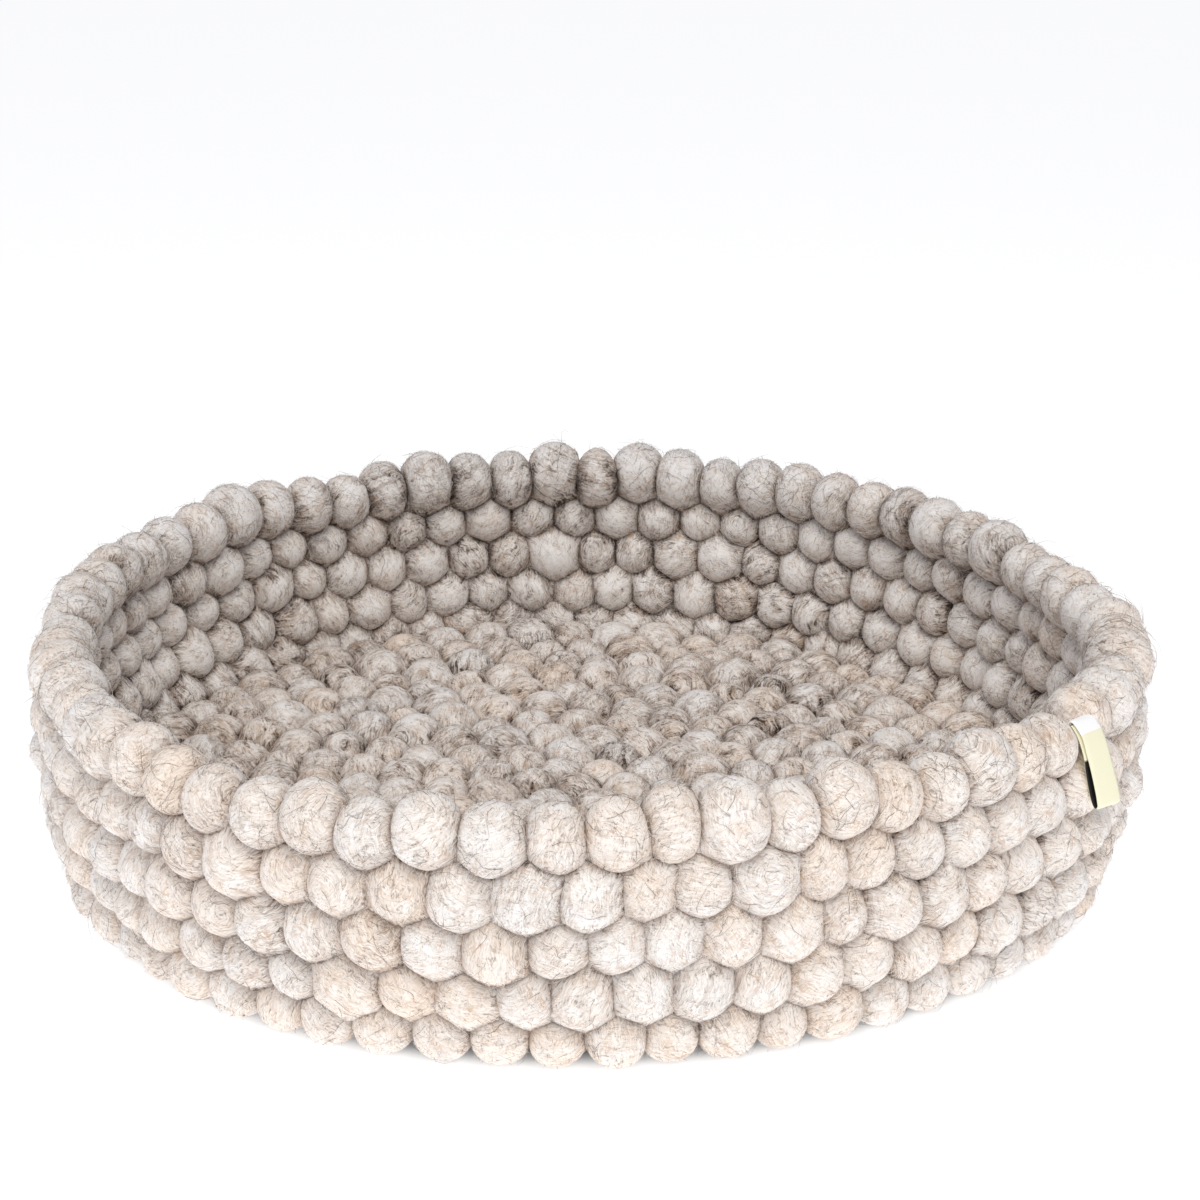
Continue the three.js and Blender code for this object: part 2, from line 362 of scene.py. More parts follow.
def settle(place, size, low):
    # moves each ball a share of its mean error towards or away from its nearest, and a smaller share back
    # to where it was laid, until their distances suit their sizes; close ones even out to the mean
    home = place.copy()
    distance = np.linalg.norm(home[None] - home[:, None], axis=-1)
    np.fill_diagonal(distance, np.inf)
    near = np.argsort(distance, axis=1)[:, : basket["settleWith"]]
    pairSize = (size[:, None] + size[near]) / 2
    wanted = np.take_along_axis(distance, near, 1) * pairSize
    mean = wanted.mean()
    close = wanted < basket["settleClose"] * mean
    wanted = np.where(close, 0.5 * wanted + 0.5 * mean * pairSize, wanted)
    for _ in range(basket["settling"]):
        way = place[near] - place[:, None]
        now = np.linalg.norm(way, axis=-1)
        push = (way * ((now - wanted) / now)[..., None]).mean(1)
        push[low, 2] = 0
        place += basket["settlePush"] * push + basket["settleHome"] * (home - place)


def spread(count, most=1.8):
    # random numbers on a bell curve, cut off at its ends
    return np.clip(chance.normal(size=count), -most, most)


def layBalls():
    # places every ball: 64 to a wall row, each row half a ball on from the last, and the floor's rings
    step = fullTurn / basket["ballsPerRow"]
    angles, radii, heights, halves, owners = [], [], [], [], []
    for index, name in enumerate(rowNames):
        height, half = basket["rows"][name]
        count = basket["ballsPerRow"]
        angles.append(-math.pi / 2 + step * (np.arange(count) + 0.5 * (index % 2) + basket["turn"]))
        radii.append(np.full(count, rowRadius(height)))
        heights.append(np.full(count, height))
        halves.append(np.tile(half, (count, 1)))
        owners.append(np.full(count, index))
    for ring in range(basket["floorRings"] + 1):
        radius = ring * basket["floorRingPitch"]
        count = max(1, round(fullTurn * radius / basket["pitch"]))
        turned = np.arange(count) + basket["floorRingTurn"] * ring
        angles.append(-math.pi / 2 + fullTurn * turned / count)
        radii.append(np.full(count, radius))
        heights.append(np.full(count, basket["floorHeight"]))
        halves.append(np.tile(basket["floorBall"], (count, 1)))
        owners.append(np.full(count, len(rowNames)))
    angle, radius, height = (np.concatenate(part) for part in (angles, radii, heights))
    half, owner = np.concatenate(halves), np.concatenate(owners)
    count = len(angle)
    size = 1 + basket["sizeSpread"] * spread(count, 2)
    angle = angle + basket["alongSpread"] * spread(count) / np.maximum(radius, basket["leastRadius"])
    radius = radius + basket["depthSpread"] * spread(count) * (radius > 0)
    rise = basket["heightSpread"] * spread(count)
    centre = unevenRing(radius, angle, height)
    half = half * size[:, None]
    wall = owner < len(rowNames)
    low = (owner == 0) | ~wall
    stand = np.where(wall, basket["footSink"], 1.0) * half[:, 2]
    centre[:, 2] += np.where(low, stand - height + rise * basket["lowSpread"], rise)
    settle(centre, size, low)
    out = np.stack([np.cos(angle), np.sin(angle), np.zeros(count)], -1)
    side = np.stack([-np.sin(angle), np.cos(angle), np.zeros(count)], -1)
    up = np.tile([0.0, 0.0, 1.0], (count, 1))
    turn = np.stack([out, side, up], 1)
    for ball, (share, move) in basket["besideRibbon"].items():
        beside = np.flatnonzero(owner == len(rowNames) - 1)[ball]
        half[beside] = np.array(rimHalf) * share
        centre[beside] += np.array(move) @ turn[beside]
    return centre, half, turn, owner


centre, half, turn, owner = layBalls()
ballCount = len(centre)
inFoot, inRim, inWall = owner == 0, owner == len(rowNames) - 1, owner < len(rowNames)
print("balls laid:", ballCount)


def findNeighbours():
    # the nearest balls of each, the way to them, and how far the pressed face between the two lies:
    # half the distance, moved towards the smaller ball; the harder of the two stays round there, and the
    # softer one is cupped round it
    apart = centre[None] - centre[:, None]
    distance = np.linalg.norm(apart, axis=-1)
    np.fill_diagonal(distance, np.inf)
    near = np.argsort(distance, axis=1)[:, : basket["neighbours"]]
    reach = np.take_along_axis(distance, near, 1)
    way = np.take_along_axis(apart, near[..., None], 1) / reach[..., None]
    own = 1 / np.linalg.norm(np.einsum("bij,bkj->bki", turn, way) / half[:, None], axis=-1)
    theirs = 1 / np.linalg.norm(np.einsum("bkij,bkj->bki", turn[near], way) / half[near], axis=-1)
    face = reach / 2 + (own**2 - theirs**2) / (2 * reach) - basket["gap"] / 2
    hard = chance.uniform(size=ballCount) + basket["harderUp"] * np.where(inWall, owner, 0)
    cup = basket["cupping"] * (hard[:, None] - hard[near])
    cup = np.clip(cup, -basket["mostCupped"], basket["mostCupped"])
    return way, np.maximum(face, basket["leastFace"] * own), cup


facing, faceFar, faceCup = findNeighbours()
lumpWay = chance.normal(size=(ballCount, basket["lumpWaves"], 3)) * basket["lumpTurns"]
lumpStart = chance.uniform(0, fullTurn, (ballCount, basket["lumpWaves"]))


def lineUp(values, way):
    # lines up a few values a ball with any number of directions a ball
    return values.reshape(values.shape[0], *([1] * (way.ndim - 2)), values.shape[1])


def sewnShare(ball, own):
    # how tightly a ball is sewn in a direction: a bell curve round the middle plane of the wall or the floor,
    # in the lowest row also round a level plane towards the floor; the top of the rim and the underside of
    # the lowest row are free
    foot, rim, wall = (lineUp(kind[ball][:, None], own)[..., 0] for kind in (inFoot, inRim, inWall))
    inner = foot & (own[..., 0] < 0)
    through = np.where(wall, own[..., 0], own[..., 2])
    through = np.where(inner, np.minimum(np.abs(own[..., 0]), np.abs(own[..., 2])), through)
    free = np.where(rim, own[..., 2], -1)
    free = np.where(foot, -own[..., 2] - basket["sewnUnder"] * inner, free)
    held = np.clip(0.5 - basket["sewnFade"] * free, 0, 1)
    return np.exp(-((through / basket["sewnWide"]) ** 2)) * held


def pressedReach(ball, way):
    # how far a ball reaches along a direction: its egg shape and the faces against its neighbours and the
    # ground, joined smoothly as the p-th root of the sum of p-th powers, times a few soft waves; where it is
    # sewn, the egg swells and the faces move outwards
    power = basket["pressing"]
    own = np.einsum("bij,b...j->b...i", turn[ball], way)
    sewn = sewnShare(ball, own)
    egg = np.linalg.norm(own / lineUp(half[ball], way), axis=-1) / (1 + basket["waist"] * sewn)
    pressed = np.einsum("bkj,b...j->b...k", facing[ball], way)
    cup = lineUp(faceCup[ball], way)
    pressed = (pressed * (1 - cup) + cup) / lineUp(faceFar[ball], way)
    pressed = pressed / (1 + basket["overlap"] * sewn**2)[..., None]
    ground = np.maximum(-way[..., 2], 0) / lineUp(centre[ball][:, 2:3], way)[..., 0]
    contact = np.maximum(pressed.max(-1), 0) ** power + ground**power
    total = egg**power + contact
    waves = np.sin(np.einsum("bkj,b...j->b...k", lumpWay[ball], way) + lineUp(lumpStart[ball], way))
    lump = 1 + basket["lumps"] * waves.mean(-1)
    return total ** (-1 / power) * lump, contact / total


def ballDirections(grid):
    # a sphere's grid of directions with its poles along the row, where the neighbours hide them
    polar = np.linspace(0, math.pi, grid[1] + 1)[1:-1]
    azimuth = np.arange(grid[0]) * 2 * math.pi / grid[0]
    polar, azimuth = np.meshgrid(polar, azimuth, indexing="ij")
    body = [np.sin(polar) * np.cos(azimuth), np.cos(polar), np.sin(polar) * np.sin(azimuth)]
    return np.concatenate([np.stack(body, -1).reshape(-1, 3), [[0, 1, 0], [0, -1, 0]]])


def ballFaces(grid):
    # quads between the rings of the grid, and triangles to the two poles
    rings, count = grid[1] - 1, grid[0]
    here = np.arange(rings * count).reshape(rings, count)
    ahead = np.roll(here, -1, axis=1)
    quads = np.stack([here[:-1], ahead[:-1], ahead[1:], here[1:]], -1).reshape(-1, 4)
    first, last = rings * count, rings * count + 1
    top = np.stack([np.full(count, first), ahead[0], here[0]], -1)
    end = np.stack([np.full(count, last), here[-1], ahead[-1]], -1)
    return quads, np.concatenate([top, end])


def fillMesh(name, points, groups, attributes, material):
    # puts arrays of points, faces of any corner count and point attributes into a smooth mesh object
    mesh = bpy.data.meshes.new(name)
    loops = np.concatenate([group.reshape(-1) for group in groups])
    sizes = np.concatenate([np.full(len(group), group.shape[1]) for group in groups])
    starts = np.concatenate([[0], np.cumsum(sizes)[:-1]])
    mesh.vertices.add(len(points))
    mesh.vertices.foreach_set("co", points.astype(np.float32).reshape(-1))
    mesh.loops.add(len(loops))
    mesh.loops.foreach_set("vertex_index", loops.astype(np.int32))
    mesh.polygons.add(len(sizes))
    mesh.polygons.foreach_set("loop_start", starts.astype(np.int32))
    mesh.polygons.foreach_set("use_smooth", np.ones(len(sizes), dtype=bool))
    for key, values in attributes.items():
        vector = values.ndim == 2
        kept = mesh.attributes.new(key, "FLOAT_VECTOR" if vector else "FLOAT", "POINT")
        kept.data.foreach_set("vector" if vector else "value", values.astype(np.float32).reshape(-1))
    mesh.update(calc_edges=True)
    mesh.validate()
    mesh.materials.append(material)
    made = bpy.data.objects.new(name, mesh)
    bpy.context.collection.objects.link(made)
    return made


def whorlTurns(tries):
    # evenly spread random rotations, from random quaternions; of a few tries for each ball the one is kept
    # whose whorl has its middle most to the hidden sides
    q = chance.normal(size=(tries, ballCount, 4))
    w, x, y, z = np.moveaxis(q / np.linalg.norm(q, axis=-1, keepdims=True), -1, 0)
    turns = np.stack(
        [
            np.stack([1 - 2 * (y * y + z * z), 2 * (x * y - z * w), 2 * (x * z + y * w)], -1),
            np.stack([2 * (x * y + z * w), 1 - 2 * (x * x + z * z), 2 * (y * z - x * w)], -1),
            np.stack([2 * (x * z - y * w), 2 * (y * z + x * w), 1 - 2 * (x * x + y * y)], -1),
        ],
        -2,
    )
    shown = np.where(inWall[:, None], turn[:, 0], turn[:, 2])
    best = np.abs(np.einsum("tbi,bi->tb", turns[:, :, 2], shown)).argmin(0)
    return turns[best, np.arange(ballCount)]


def ballTone(wall, floor, differ):
    # one number for each ball, round one mean in the wall and another on the floor
    return np.where(inWall, wall, floor) + differ * chance.normal(size=ballCount)


whorlTurn, crossTurn = whorlTurns(3), whorlTurns(2)
whorlStart = chance.uniform(-400, 400, (ballCount, 3))
ballShade = np.clip(ballTone(*wool["ballShade"]), 0.0, 1.0)
ballWarmth = ballTone(*wool["ballWarmth"])
ballTufts = chance.uniform(0, 1, ballCount) ** wool["tuftPower"]


def whorlPlace(way, turns):
    # a direction on the ball as the whorl sees it, times the ball's radius
    return np.einsum("bij,bmj->bmi", turns, way).reshape(-1, 3) * wool["ballMm"]


def buildBalls(name, chosen, grid, material):
    # the pressed surface of each chosen ball over the grid of directions, all in one mesh; a share that
    # grows from the inside of the wall to the outside, on the rim also upwards, carries the painted light of
    # the outside; the contact carries painted shade in the crevices, and a low power of it painted shade
    # that reaches further from the crevices
    local = ballDirections(grid)
    way = np.einsum("bij,mi->bmj", turn[chosen], local)
    reach, contact = pressedReach(chosen, way)
    points = (centre[chosen][:, None] + way * reach[..., None]) * mm
    onWall, onRim = inWall[chosen][:, None], inRim[chosen][:, None]
    outward = local[:, 0] + basket["litOutsideUp"] * np.maximum(local[:, 2], 0) * onRim
    litOutside = np.clip(outward / basket["litOutsideFade"] + 0.5, 0, 1) * onWall
    contact = contact * np.where(onWall, 1.0, basket["floorCreviceShade"])
    edgeShade = contact ** basket["edgeShadePower"] * np.where(onWall, 1.0, basket["floorEdge"])
    quads, fans = ballFaces(grid)
    start = (np.arange(len(chosen)) * len(local))[:, None, None]
    made = fillMesh(
        name,
        points.reshape(-1, 3),
        [(quads[None] + start).reshape(-1, 4), (fans[None] + start).reshape(-1, 3)],
        {
            "whorl": whorlPlace(way, whorlTurn[chosen]),
            "cross": whorlPlace(way, crossTurn[chosen]),
            "start": np.repeat(whorlStart[chosen], len(local), axis=0),
            "shade": np.repeat(ballShade[chosen], len(local)),
            "warmth": np.repeat(ballWarmth[chosen], len(local)),
            "tufted": np.repeat(ballTufts[chosen], len(local)),
            "pressed": contact.reshape(-1),
            "edgeShade": edgeShade.reshape(-1),
            "litOutside": litOutside.reshape(-1),
        },
        material,
    )
    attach(made, "root")
    print(name, "balls:", len(chosen), "triangles:", len(chosen) * (2 * len(quads) + len(fans)))
    return made


feltedWool = woolMaterial()
for index, name in enumerate(rowNames):
    row = buildBalls("felt_" + name, np.flatnonzero(owner == index), basket["wallGrid"], feltedWool)
    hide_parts(name)
floorBalls = buildBalls("felt_floor", np.flatnonzero(~inWall), basket["floorGrid"], feltedWool)
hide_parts("floor_mat")


# A ribbon folded to a loop, both ends pinched between two rim balls. Along it: distance out from the rim
# circle, height and half width, in millimetres.
ribbon = {
    "ball": 10.5,  # it leaves the rim between the tenth and eleventh ball from the front
    "path": [
        (3.6, 86.0, 5.4), (3.9, 92.0, 5.6), (4.9, 95.0, 5.8), (6.8, 94.9, 6.0), (9.2, 92.4, 6.0),
        (11.2, 89.2, 6.0), (13.8, 83.0, 6.0), (16.3, 76.5, 6.0), (18.6, 70.0, 6.0), (19.8, 66.0, 6.0),
        (20.0, 64.6, 6.0), (19.4, 63.8, 6.0), (18.4, 64.6, 6.0), (17.0, 67.4, 6.0), (15.4, 72.0, 6.0),
        (13.7, 77.5, 6.0), (12.4, 82.6, 6.0), (10.0, 88.2, 6.0), (8.2, 91.2, 6.0), (6.4, 93.4, 6.0),
        (5.3, 92.8, 5.8), (4.7, 90.6, 5.6), (4.5, 86.0, 5.4),
    ],
    "middle": (14.0, 8.0),  # how far out from the rim circle and down the loop's middle lies
    "width": 12.0,
    "thick": 0.8,
    "turn": 0.3,
    "turnWhere": (4.0, 2.5),  # it turns from this half width on, over this much more of it
    "twist": 0.12,  # more turn towards its free end
    "twistWhere": (90.0, 26.0),  # from this height down, over this drop
    "aside": -1.0,
    "stepsAlong": 6,
    "stepsAcross": 10,
    "cream": "#F8F5DA",
    "pick": "#EEE9C4",
    # painted highlight, where the ribbon comes out of the rim
    "white": "#FFFFFF",
    "inside": "#1A1714",
    "highlightMm": 16.5,  # length of the white part, a painted highlight, from the tucked end
    "insideBelow": 81.0,  # the loop is dark inside below this height
    "ribMm": 0.5,  # weft ribs, drawn twice as coarse as a real satin so that they show
}
ribbonAngle = -math.pi / 2 + (ribbon["ball"] + basket["turn"]) * fullTurn / basket["ballsPerRow"]
ribbonAnchor = unevenRing(np.array([rimRadius]), np.array([ribbonAngle]), np.array([rimHeight]))[0]
ribbonOut = np.array([math.cos(ribbonAngle), math.sin(ribbonAngle), 0])
ribbonMiddle = ribbonAnchor + ribbon["middle"][0] * ribbonOut - [0, 0, ribbon["middle"][1]]


def ribbonMaterial():
    # woven satin ribbon: smooth cream threads with fine cross ribs and a soft gloss, a painted white
    # highlight where it comes out of the rim, and dark inside the loop, left bare
    made, tree = newMaterial("woven_satin_ribbon")
    cloth = put(tree, attributeNode, out="Vector", attribute_name="cloth")
    inside = put(tree, attributeNode, out="Fac", attribute_name="inside")
    weave = {"Vector": cloth, "Scale": fullTurn / (20 * ribbon["ribMm"]), "Distortion": 0.4, "Detail": 1.0}
    ribs = put(tree, "ShaderNodeTexWave", weave, out="Fac", bands_direction="Y")
    colour = put(tree, rampNode, {"Fac": ribs}, stops=[(0.0, ribbon["pick"]), (0.6, ribbon["cream"])])
    along = put(tree, "ShaderNodeSeparateXYZ", {0: cloth}, out="Y")
    # painted highlight: white over the first part from the tucked end, where it comes out of the rim
    top = put(tree, mathNode, {0: along, 1: ribbon["highlightMm"]}, operation="LESS_THAN")
    for where, over in [(top, ribbon["white"]), (inside, ribbon["inside"])]:
        colour = put(tree, mixNode, {"Factor": where, 6: colour, 7: linear(over)}, out=2, data_type="RGBA")
    raised = put(tree, "ShaderNodeBump", {"Height": ribs, "Distance": 0.05 * mm, "Strength": 0.6})
    finish = {
        "Base Color": colour,
        "Roughness": 0.5,
        "Specular IOR Level": 0.3,
        "Sheen Weight": 0.1,
        "Normal": raised,
    }
    put(tree, outputNode, {"Surface": put(tree, skinNode, finish)}, out=None)
    return made


def buildRibbon():
    # the path is drawn through its points as a smooth cubic, and a flat section as wide as the path says is
    # carried along it, square to the path, thick in the middle and closed round its edges and ends
    path = np.array(ribbon["path"])
    padded = np.concatenate([path[:1], path, path[-1:]])
    steps = np.arange((len(path) - 1) * ribbon["stepsAlong"] + 1) / ribbon["stepsAlong"]
    first = np.minimum(steps.astype(int), len(path) - 2)
    f = (steps - first)[:, None]
    p0, p1, p2, p3 = (padded[first + k] for k in range(4))
    bent, twisted = 2 * p0 - 5 * p1 + 4 * p2 - p3, 3 * p1 - p0 - 3 * p2 + p3
    line = 0.5 * (2 * p1 + (p2 - p0) * f + bent * f**2 + twisted * f**3)
    run = np.gradient(line[:, :2], axis=0)
    run /= np.linalg.norm(run, axis=1, keepdims=True)
    gone = np.concatenate([[0], np.cumsum(np.linalg.norm(np.diff(line[:, :2], axis=0), axis=1))])
    side = np.array([-ribbonOut[1], ribbonOut[0], 0])

    # how far along its turn and its twist each place is, the first eased in and out
    turned = np.clip((line[:, 2] - ribbon["turnWhere"][0]) / ribbon["turnWhere"][1], 0, 1)
    hung = np.clip((ribbon["twistWhere"][0] - line[:, 1]) / ribbon["twistWhere"][1], 0, 1)
    turnBy = ribbon["turn"] * turned**2 * (3 - 2 * turned) + ribbon["twist"] * hung

    wide = ribbon["stepsAcross"]
    across = np.linspace(-1, 1, wide + 1)
    across = np.concatenate([across, across[::-1]])[None]
    through = np.repeat([1, -1], wide + 1)[None] * ribbon["thick"] / 2
    through = through * np.sqrt(np.clip(1.04 - across**8, 0, 1))
    slide = across * line[:, 2:3] + ribbon["aside"] - hung[:, None]
    reach = line[:, :1] - run[:, 1:] * through + slide * np.sin(turnBy)[:, None]
    height = line[:, 1:2] + ribbonAnchor[2] - rimHeight + run[:, :1] * through
    place = ribbonAnchor * [1, 1, 0] + reach[..., None] * ribbonOut
    place = place + (slide * np.cos(turnBy)[:, None])[..., None] * side + height[..., None] * [0, 0, 1]

    here = np.arange(place[..., 0].size).reshape(place.shape[:2])
    ahead = np.roll(here, -1, axis=1)
    quads = np.stack([here[:-1], here[1:], ahead[1:], ahead[:-1]], -1).reshape(-1, 4)
    left = np.arange(wide)
    cap = np.stack([left, left + 1, 2 * wide - left, 2 * wide + 1 - left], -1)
    ends = np.concatenate([here[0][cap], here[-1][cap[:, ::-1]]])
    cloth = np.stack([slide, np.broadcast_to(gone[:, None], slide.shape), 0 * slide], -1)
    inside = np.repeat([0, 1], wide + 1)[None] * (line[:, 1:2] < ribbon["insideBelow"])
    made = fillMesh(
        "ribbon_label",
        place.reshape(-1, 3) * mm,
        [quads, ends],
        {"cloth": cloth.reshape(-1, 3), "inside": inside.reshape(-1)},
        ribbonMaterial(),
    )
    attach(made, "root")
    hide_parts("label")


buildRibbon()


# Loose wool: single fibres that lie on the balls, stand off them, or end just above the felt as short hairs,
# most pale and some brown. They are drawn thicker than real wool, which is 0.03 mm, so that they show.
fuzz = {
    "thickMm": 0.17,
    "kinds": {  # lift is how far the free end stands off, and dark the share of brown fibres
        "lying": {
            "segments": 6, "lengthMm": (5, 14), "liftMm": (0.1, 1.2), "bend": 0.5, "sway": 0.10, "dark": 0.3,
        },
        "loose": {
            "segments": 3, "lengthMm": (2.5, 8), "liftMm": (0.6, 5.2), "bend": 0.5, "sway": 0.0, "dark": 0.5,
        },
        "long": {
            "segments": 6, "lengthMm": (12, 24), "liftMm": (2.0, 9.0), "bend": 0.7, "sway": 0.08, "dark": 0.6,
        },
    },
    "stray": 0.45,  # how far the fibres stray from the whorl's direction
    "swayWaves": 8.5,
    "liftPower": 1.4,
    "offMm": 0.09,  # a fibre starts this far off the felt
    "taper": (1.05, 0.12),
    "hairMm": (0.8, 2.6),
    "hairLean": (0.3, 2.0),  # how far a hair leans over, as a slope
    "hairDark": 0.35,
    "hairInMm": 0.1,  # a hair's foot lies this deep in the felt
    "paleness": (0.15, 0.75, 0.15),  # of brown and of pale fibres, and how much they differ
    "pieces": {  # rows, and on each ball the lying, loose and long fibres and the short hairs
        "fuzz_wall_low": ([0, 1], 8, 14, 1, 105),
        "fuzz_wall_high": ([2, 3], 8, 14, 1, 105),
        "fuzz_rim": ([4], 20, 44, 2, 200),
        "fuzz_floor": ([5], 6, 6, 0, 50),
    },
    "triesEach": 3,  # places tried for each fibre
    "mostContact": 0.3,  # no fibres where the balls press together,
    "lowest": -0.75,  # on their undersides,
    "clearMm": 20.0,  # or this near the middle of the ribbon
    "groundMm": 0.2,
    "colours": [(0.0, "#6B5A4F"), (0.25, "#9C8B7E"), (0.45, "#DDD3C8"), (1.0, "#FFFCF8")],
}


def fuzzMaterial():
    # single wool fibres: matt with a faint gloss, each with its own place between brown and cream
    made, tree = newMaterial("loose_wool_fibres")
    pale = put(tree, attributeNode, out="Fac", attribute_name="pale")
    colour = put(tree, rampNode, {"Fac": pale}, stops=fuzz["colours"])
    finish = {"Base Color": colour, "Roughness": 0.8, "Specular IOR Level": 0.2}
    put(tree, outputNode, {"Surface": put(tree, skinNode, finish)}, out=None)
    return made


def fibreRoots(balls, perBall):
    # random bare places on the balls, away from the ribbon and from the faces pressed together
    ball = np.repeat(balls, perBall * fuzz["triesEach"])
    root = chance.normal(size=(len(ball), 3))
    root /= np.linalg.norm(root, axis=1, keepdims=True)
    reach, contact = (found[:, 0] for found in pressedReach(ball, root[:, None]))
    away = np.linalg.norm(centre[ball] + root * wool["ballMm"] - ribbonMiddle, axis=1)
    bare = (contact < fuzz["mostContact"]) & (root[:, 2] > fuzz["lowest"]) & (away > fuzz["clearMm"])
    bare = np.sort(chance.permutation(np.flatnonzero(bare))[: len(balls) * perBall])
    return ball[bare], root[bare], reach[bare]


def fibrePaleness(count, darkShare):
    # most fibres are pale, and a share of them brown
    brown, cream, differ = fuzz["paleness"]
    dark = chance.uniform(size=count) < darkShare
    return np.clip(np.where(dark, brown, cream) + differ * chance.normal(size=count), 0, 1)


def threeSided(first, second):
    # three directions a third of a turn apart, in the plane of two square ones
    corner = np.arange(3) * 2 * math.pi / 3
    return np.cos(corner)[:, None] * first[..., None, :] + np.sin(corner)[:, None] * second[..., None, :]


def drawFibres(balls, perBall, kind):
    # each fibre follows the ball's surface along its whorl: the direction turns from the root towards the
    # tangent, bends sideways as a square and sways as a sine, and the height above the felt grows as a
    # power of the way along; a three-sided tube that thins to its tip is drawn round that line
    ball, root, _ = fibreRoots(balls, perBall)
    count, steps = len(ball), kind["segments"] + 1
    ahead = np.cross(whorlTurn[ball][:, 2], root) + fuzz["stray"] * chance.normal(size=(count, 3))
    ahead -= root * (ahead * root).sum(1, keepdims=True)
    ahead /= np.linalg.norm(ahead, axis=1, keepdims=True)
    aside = np.cross(root, ahead)
    along = np.linspace(0, 1, steps)[None, :, None]
    arc = chance.uniform(*kind["lengthMm"], (count, 1, 1)) / wool["ballMm"] * along
    sway = chance.normal(size=(count, 1, 1)) * kind["sway"]
    bend = chance.normal(size=(count, 1, 1)) * kind["bend"]
    phase = chance.uniform(0, 6.28, (count, 1, 1))
    side = bend * along**2 + sway * (np.sin(phase + fuzz["swayWaves"] * along) - np.sin(phase))
    way = np.cos(arc) * root[:, None] + np.sin(arc) * ahead[:, None] + side * aside[:, None]
    way /= np.linalg.norm(way, axis=-1, keepdims=True)
    low, high = kind["liftMm"]
    tipLift = low + (high - low) * chance.uniform(0, 1, (count, 1)) ** 2
    reach = pressedReach(ball, way)[0] + tipLift * along[..., 0] ** fuzz["liftPower"] + fuzz["offMm"]
    path = centre[ball][:, None] + way * reach[..., None]
    path[..., 2] = np.maximum(path[..., 2], fuzz["groundMm"])
    run = np.gradient(path, axis=1)
    run /= np.linalg.norm(run, axis=-1, keepdims=True)
    across = np.cross(run, way)
    across /= np.linalg.norm(across, axis=-1, keepdims=True) + 1e-9
    taper = fuzz["thickMm"] / 2 * np.sqrt(np.clip(fuzz["taper"][0] - along, fuzz["taper"][1], 1))
    tube = path[:, :, None] + taper[..., None] * threeSided(np.cross(across, run), across)
    here = np.arange(count * steps * 3).reshape(count, steps, 3)
    turned = np.roll(here, -1, axis=2)
    quads = np.stack([here[:, :-1], turned[:, :-1], turned[:, 1:], here[:, 1:]], -1).reshape(-1, 4)
    ends = np.concatenate([here[:, 0, ::-1], here[:, -1]])
    return tube.reshape(-1, 3), quads, ends, np.repeat(fibrePaleness(count, kind["dark"]), steps * 3)


def drawHairs(balls, perBall):
    # each hair is a three-sided spike: its foot lies just in the felt, and it leans from the outward
    # direction by a random slope along a random tangent
    ball, root, reach = fibreRoots(balls, perBall)
    count = len(ball)
    aside = np.cross(root, chance.normal(size=(count, 3)))
    aside /= np.linalg.norm(aside, axis=1, keepdims=True)
    run = root + aside * chance.uniform(*fuzz["hairLean"], (count, 1))
    run /= np.linalg.norm(run, axis=1, keepdims=True)
    across = np.cross(run, np.cross(root, aside))
    foot = centre[ball] + root * (reach - fuzz["hairInMm"])[:, None]
    tip = foot + run * chance.uniform(*fuzz["hairMm"], (count, 1))
    ring = foot[:, None] + fuzz["thickMm"] / 2 * threeSided(across, np.cross(run, across))
    spike = np.concatenate([ring, tip[:, None]], 1)
    spike[..., 2] = np.maximum(spike[..., 2], fuzz["groundMm"])
    sides = np.array([[0, 1, 3], [1, 2, 3], [2, 0, 3], [2, 1, 0]])
    faces = (np.arange(count)[:, None, None] * 4 + sides).reshape(-1, 3)
    pale = np.repeat(fibrePaleness(count, fuzz["hairDark"]), 4)
    return spike.reshape(-1, 3), np.zeros((0, 4), int), faces, pale


def buildFuzz(name, rows, counts, material):
    # all kinds of fibre on the chosen rows, in one mesh
    balls = np.flatnonzero(np.isin(owner, rows))
    made = [drawFibres(balls, perBall, kind) for perBall, kind in zip(counts, fuzz["kinds"].values())]
    made.append(drawHairs(balls, counts[-1]))
    points, quads, ends, pale = zip(*made)
    start = np.concatenate([[0], np.cumsum([len(part) for part in points])])
    groups = [part + first for faces in (quads, ends) for part, first in zip(faces, start)]
    piece = fillMesh(
        name,
        np.concatenate(points) * mm,
        [group for group in groups if len(group)],
        {"pale": np.concatenate(pale)},
        material,
    )
    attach(piece, "root")
    print(name, "triangles:", 2 * sum(map(len, quads)) + sum(map(len, ends)))


looseWool = fuzzMaterial()
for name, (rows, *counts) in fuzz["pieces"].items():
    buildFuzz(name, rows, counts, looseWool)


